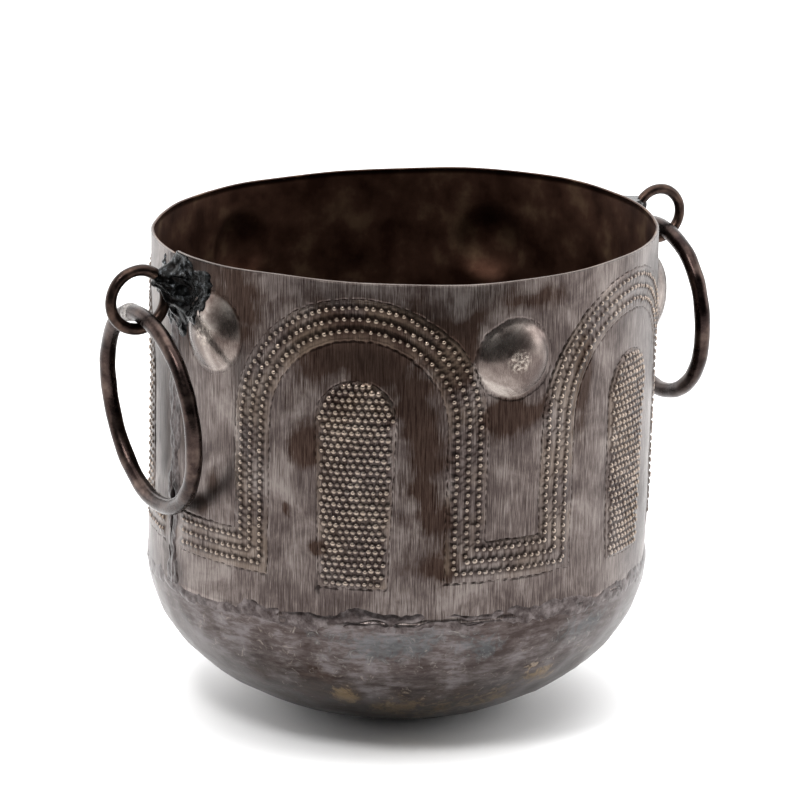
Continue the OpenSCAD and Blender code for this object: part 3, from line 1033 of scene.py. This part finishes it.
finishes = {
    "wall_sheet_steel": wall_steel(),
    "base_dish_steel": dish_steel(),
    "seam_weld": weld_metal("ground_seam_weld", SEAM_TONES, 0.36, 4, 0.2, soot_and_shade=0.9),
    "eye_braze": weld_metal("black_braze_crust", BRAZE_TONES, 0.27, 1.6, 0.2, soot_and_shade=0.9),
    "eye_rod_steel": rod_steel("rust_brown_rod", EYE_TONES, 0.32),
    "ring_rod_steel": rod_steel("black_brown_rod", RING_TONES, 0.28),
    "ring_weld": weld_metal("filed_weld_scar", SCAR_TONES, 0.4, 1.4, 0.3),
}
for piece in bpy.context.scene.objects:
    if piece.type == "MESH" and piece.get("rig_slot") in finishes:
        piece.data.materials.append(finishes[piece["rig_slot"]])

# -------- floor, light and camera, in metres
AZIMUTH, ELEVATION, ROLL = math.radians(-28), math.radians(15.5), math.radians(0.3)
PAPER_BACK = 8.0
PAPER_FRONT = 0.6
DISTANCE = 2.0
MIDDLE = Vector((0, 0, 0.1123))
LIT_MIDDLE = Vector((0, 0, 0.1))


def toward(turn, rise):
    """The direction from the bowl to something at an angle round it and an angle above the floor."""
    return Vector((math.sin(turn) * math.cos(rise), -math.cos(turn) * math.cos(rise), math.sin(rise)))


def soft_light(name, side, height, distance, size, power):
    """A square soft box that faces the bowl, at an angle to the side of the camera's line and above the
    floor."""
    light = bpy.data.lights.new(name, "AREA")
    light.size = size
    light.energy = power
    lamp = bpy.data.objects.new(name, light)
    way = toward(AZIMUTH + math.radians(side), math.radians(height))
    lamp.location = LIT_MIDDLE + way * distance
    lamp.rotation_euler = way.to_track_quat("Z", "Y").to_euler()
    lamp.visible_camera = False
    bpy.context.scene.collection.objects.link(lamp)


floor_mesh = bpy.data.meshes.new("floor")
corners = ((-PAPER_BACK, -PAPER_FRONT, 0), (PAPER_BACK, -PAPER_FRONT, 0),
           (PAPER_BACK, PAPER_BACK, 0), (-PAPER_BACK, PAPER_BACK, 0))
floor_mesh.from_pydata([Matrix.Rotation(AZIMUTH, 3, "Z") @ Vector(c) for c in corners], [], [(0, 1, 2, 3)])
floor = bpy.data.objects.new("floor", floor_mesh)
bpy.context.scene.collection.objects.link(floor)
paper = bpy.data.materials.new("white_studio_paper")
paper.use_nodes = True
paper.node_tree.nodes["Principled BSDF"].inputs["Base Color"].default_value = colour("#fbfbfb")
paper.node_tree.nodes["Principled BSDF"].inputs["Roughness"].default_value = 0.9
floor_mesh.materials.append(paper)

soft_light("key_box", -25, 50, 1.3, 0.28, 7)
soft_light("top_box", 30, 80, 1.3, 1.4, 16)
soft_light("backdrop_box", 180, 50, 2.2, 2.6, 16)
soft_light("right_box", 95, 20, 1.3, 0.8, 6)
soft_light("left_box", -105, 18, 1.3, 0.8, 4)

# The studio: white paper behind and at the sides, a dim room on the camera's side
world = bpy.data.worlds.new("studio")
world.use_nodes = True
studio = world.node_tree
ground = studio.nodes["Background"]
look = add(studio, "TexCoord").outputs["Generated"]
room_side = (math.sin(AZIMUTH), -math.cos(AZIMUTH), 0)
facing = add(studio, "VectorMath", {0: look, 1: room_side}, operation="DOT_PRODUCT").outputs["Value"]
glow = add(studio, "MapRange", {"Value": facing, "From Min": -0.15, "From Max": 0.6, "To Min": 1.8,
                                "To Max": 0.08}).outputs[0]
seen = add(studio, "LightPath").outputs["Is Camera Ray"]
strength = add(studio, "Math", {0: glow, 1: seen}, operation="MAXIMUM").outputs[0]
studio.links.new(strength, ground.inputs["Strength"])
ground.inputs["Color"].default_value = (1, 1, 1, 1)
bpy.context.scene.world = world
bpy.context.scene.view_settings.view_transform = "Standard"

RIGHT = Vector((math.cos(AZIMUTH), math.sin(AZIMUTH), 0))
BACK = toward(AZIMUTH, ELEVATION)
UP = BACK.cross(RIGHT)
camera_data = bpy.data.cameras.new("camera")
camera_data.lens = 226.2
camera_data.sensor_width = 36
camera_data.clip_end = 50
camera = bpy.data.objects.new("camera", camera_data)
bpy.context.scene.collection.objects.link(camera)
camera.location = MIDDLE + BACK * DISTANCE
# The camera points a little above the middle and to its left
aim = MIDDLE + UP * 0.0097 - RIGHT * 0.0018
turned = (camera.location - aim).to_track_quat("Z", "Y").to_matrix() @ Matrix.Rotation(ROLL, 3, "Z")
camera.rotation_euler = turned.to_euler()
bpy.context.scene.camera = camera
